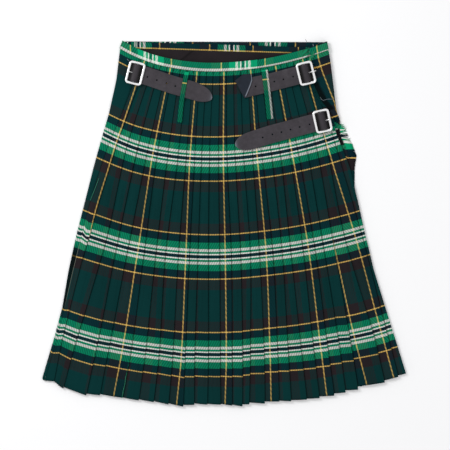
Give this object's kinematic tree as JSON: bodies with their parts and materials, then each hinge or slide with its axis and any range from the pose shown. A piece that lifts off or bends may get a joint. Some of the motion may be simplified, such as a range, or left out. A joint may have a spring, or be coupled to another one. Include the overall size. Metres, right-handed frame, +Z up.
{
  "type": "kilt",
  "caption": "Knee-length pleated wrap skirt of green and navy tartan, laid flat with its back up, with leather waist and hip straps in buckles.",
  "frame": {"origin": "on the surface that the kilt lies on, under the middle of its outline", "axes": "+Z up from the surface, +Y from the hem to the waist, +X to the right as the pleated back is seen from above"},
  "size_m": [0.642, 0.6442, 0.0172],
  "materials": {
    "tartan_green": "worsted wool twill in a green, navy, brown, yellow and white tartan",
    "tartan_bright_green": "the same cloth, where its bright green bar lies",
    "tartan_navy": "the same cloth, where its navy bar lies",
    "lining_black": "plain black-brown lining",
    "strap_leather": "black leather, satin",
    "buckle_metal": "bright polished plate"
  },
  "bodies": {
    "root": {"over_apron": "tartan_green", "under_apron": "tartan_green", "pleated_back": "tartan_green", "waistband_back": "tartan_bright_green", "waistband_apron": "tartan_bright_green", "waistband_facing": "tartan_navy", "lining": "lining_black", "apron_facing": "lining_black", "apron_fringe": "tartan_green", "belt_loop_left": "tartan_bright_green", "belt_loop_right": "tartan_bright_green", "strap_left": "strap_leather", "strap_right": "strap_leather", "strap_hip": "strap_leather", "tab_left": "strap_leather", "tab_right": "strap_leather", "tab_hip": "strap_leather", "buckle_left": "buckle_metal", "buckle_right": "buckle_metal", "buckle_hip": "buckle_metal", "prong_left": "buckle_metal", "prong_right": "buckle_metal", "prong_hip": "buckle_metal"}
  },
  "joints": []
}
